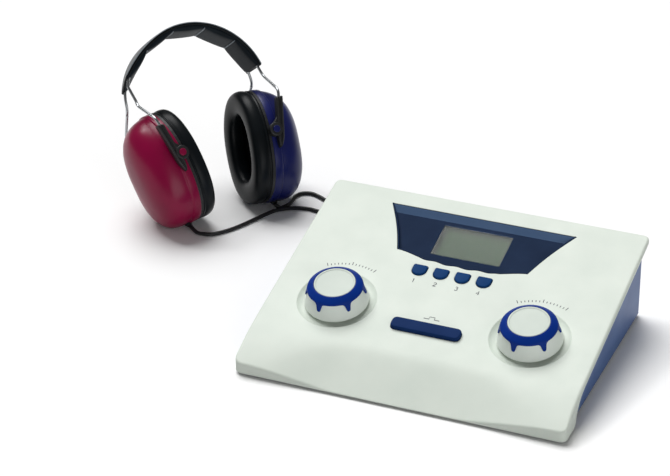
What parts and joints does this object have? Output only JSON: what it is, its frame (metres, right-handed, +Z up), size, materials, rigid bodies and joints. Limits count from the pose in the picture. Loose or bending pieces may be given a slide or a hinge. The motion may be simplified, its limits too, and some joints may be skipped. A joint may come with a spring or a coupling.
{
  "type": "desktop audiometer with headset",
  "caption": "Low sloping hearing-test console with a display, function keys, a tone bar and two finger-crowned knobs, with a sprung headset of padded ear cups plugged in at the back.",
  "frame": {"origin": "on the table, under the middle of the console's outline", "axes": "+X to the right of the person at the controls, +Y to the back, +Z up"},
  "size_m": [0.4849, 0.3325, 0.1521],
  "materials": {
    "cover": "fine matte moulding, very pale green-white",
    "base": "matte mid blue",
    "bezel": "dark blue, satin",
    "window": "clear, slightly grey-green",
    "lcd": "grey-green display face",
    "board": "green lacquer",
    "black_plastic": "black, satin",
    "grey_plastic": "grey",
    "keys": "royal blue, satin",
    "bar": "dark blue, satin",
    "knob": "pale green-white, satin",
    "crown": "royal blue, satin",
    "disc": "pale, matte",
    "steel": "plain",
    "wire": "drawn spring steel",
    "grille": "dark grey cloth-covered grille",
    "rocker": "black, glossy",
    "foot": "matte black",
    "pad": "black sewn vinyl, satin",
    "cushion": "black vinyl, glossy",
    "red_cup": "crimson, glossy",
    "blue_cup": "navy, glossy",
    "cord": "black, satin",
    "plug": "black moulded"
  },
  "bodies": {
    "console": {"top_cover": "cover", "base_shell": "base", "display_bezel": "bezel", "display_window": "window", "lcd_module": "lcd", "main_board": "board", "key_switches": "black_plastic", "tone_switch": "black_plastic", "level_encoder": "grey_plastic", "frequency_encoder": "grey_plastic", "encoder_nuts": "steel", "right_jack": "black_plastic", "left_jack": "black_plastic", "response_jack": "black_plastic", "power_inlet": "black_plastic", "rocker_housing": "black_plastic", "rubber_feet": "foot", "case_screws": "steel", "board_screws": "steel"},
    "level_knob": {"level_knob_body": "knob", "level_knob_crown": "crown", "level_knob_disc": "disc", "level_shaft": "steel"},
    "frequency_knob": {"frequency_knob_body": "knob", "frequency_knob_crown": "crown", "frequency_knob_disc": "disc", "frequency_shaft": "steel"},
    "key_1": {"function_key_1": "keys"},
    "key_2": {"function_key_2": "keys"},
    "key_3": {"function_key_3": "keys"},
    "key_4": {"function_key_4": "keys"},
    "tone_bar": {"tone_bar": "bar"},
    "power_rocker": {"power_rocker": "rocker"},
    "headset": {"headband_pad": "pad", "front_wire": "wire", "rear_wire": "wire", "red_cord": "cord", "blue_cord": "cord", "red_coil": "cord", "blue_coil": "cord", "red_plug": "plug", "blue_plug": "plug"},
    "red_yoke": {"red_front_guide": "black_plastic", "red_rear_guide": "black_plastic", "red_pivot_caps": "red_cup"},
    "blue_yoke": {"blue_front_guide": "black_plastic", "blue_rear_guide": "black_plastic", "blue_pivot_caps": "blue_cup"},
    "red_cup": {"red_shell": "red_cup", "red_plate": "black_plastic", "red_cushion": "cushion", "red_driver": "grille", "red_gland": "cord"},
    "blue_cup": {"blue_shell": "blue_cup", "blue_plate": "black_plastic", "blue_cushion": "cushion", "blue_driver": "grille", "blue_gland": "cord"}
  },
  "joints": [
    {"name": "level_knob_turn", "type": "hinge", "parent": "console", "child": "level_knob", "pos_m": [-0.08, -0.0289, 0.04199], "axis": [0, -0.2455, 0.9694], "continuous": true},
    {"name": "frequency_knob_turn", "type": "hinge", "parent": "console", "child": "frequency_knob", "pos_m": [0.08, -0.0289, 0.04199], "axis": [0, -0.2455, 0.9694], "continuous": true},
    {"name": "key_1_press", "type": "slide", "parent": "console", "child": "key_1", "axis": [0, 0.2455, -0.9694], "range_m": [0, 0.0012], "stiffness_N_per_m": 800, "springref_m": -0.002},
    {"name": "key_2_press", "type": "slide", "parent": "console", "child": "key_2", "axis": [0, 0.2455, -0.9694], "range_m": [0, 0.0012], "stiffness_N_per_m": 800, "springref_m": -0.002},
    {"name": "key_3_press", "type": "slide", "parent": "console", "child": "key_3", "axis": [0, 0.2455, -0.9694], "range_m": [0, 0.0012], "stiffness_N_per_m": 800, "springref_m": -0.002},
    {"name": "key_4_press", "type": "slide", "parent": "console", "child": "key_4", "axis": [0, 0.2455, -0.9694], "range_m": [0, 0.0012], "stiffness_N_per_m": 800, "springref_m": -0.002},
    {"name": "tone_bar_press", "type": "slide", "parent": "console", "child": "tone_bar", "axis": [0, 0.2455, -0.9694], "range_m": [0, 0.0015], "stiffness_N_per_m": 900, "springref_m": -0.002},
    {"name": "power_rocker_turn", "type": "hinge", "parent": "console", "child": "power_rocker", "pos_m": [-0.08, 0.0978, 0.03], "axis": [-1, 0, 0], "range_deg": [0, 10]},
    {"name": "headset_unplug", "type": "slide", "parent": "console", "child": "headset", "axis": [0, 1, 0], "range_m": [0, 0.036]},
    {"name": "red_yoke_slide", "type": "slide", "parent": "headset", "child": "red_yoke", "axis": [-0.6067, 0.1456, 0.7815], "range_m": [0, 0.005]},
    {"name": "blue_yoke_slide", "type": "slide", "parent": "headset", "child": "blue_yoke", "axis": [-0.2881, 0.5535, 0.7815], "range_m": [0, 0.005]},
    {"name": "red_cup_tilt", "type": "hinge", "parent": "red_yoke", "child": "red_cup", "pos_m": [-0.2967, 0.11104, 0.05242], "axis": [-0.6375, 0.4981, -0.5878], "range_deg": [-9, 9]},
    {"name": "blue_cup_tilt", "type": "hinge", "parent": "blue_yoke", "child": "blue_cup", "pos_m": [-0.2413, 0.18196, 0.05242], "axis": [-0.6375, 0.4981, -0.5878], "range_deg": [-9, 9]}
  ]
}
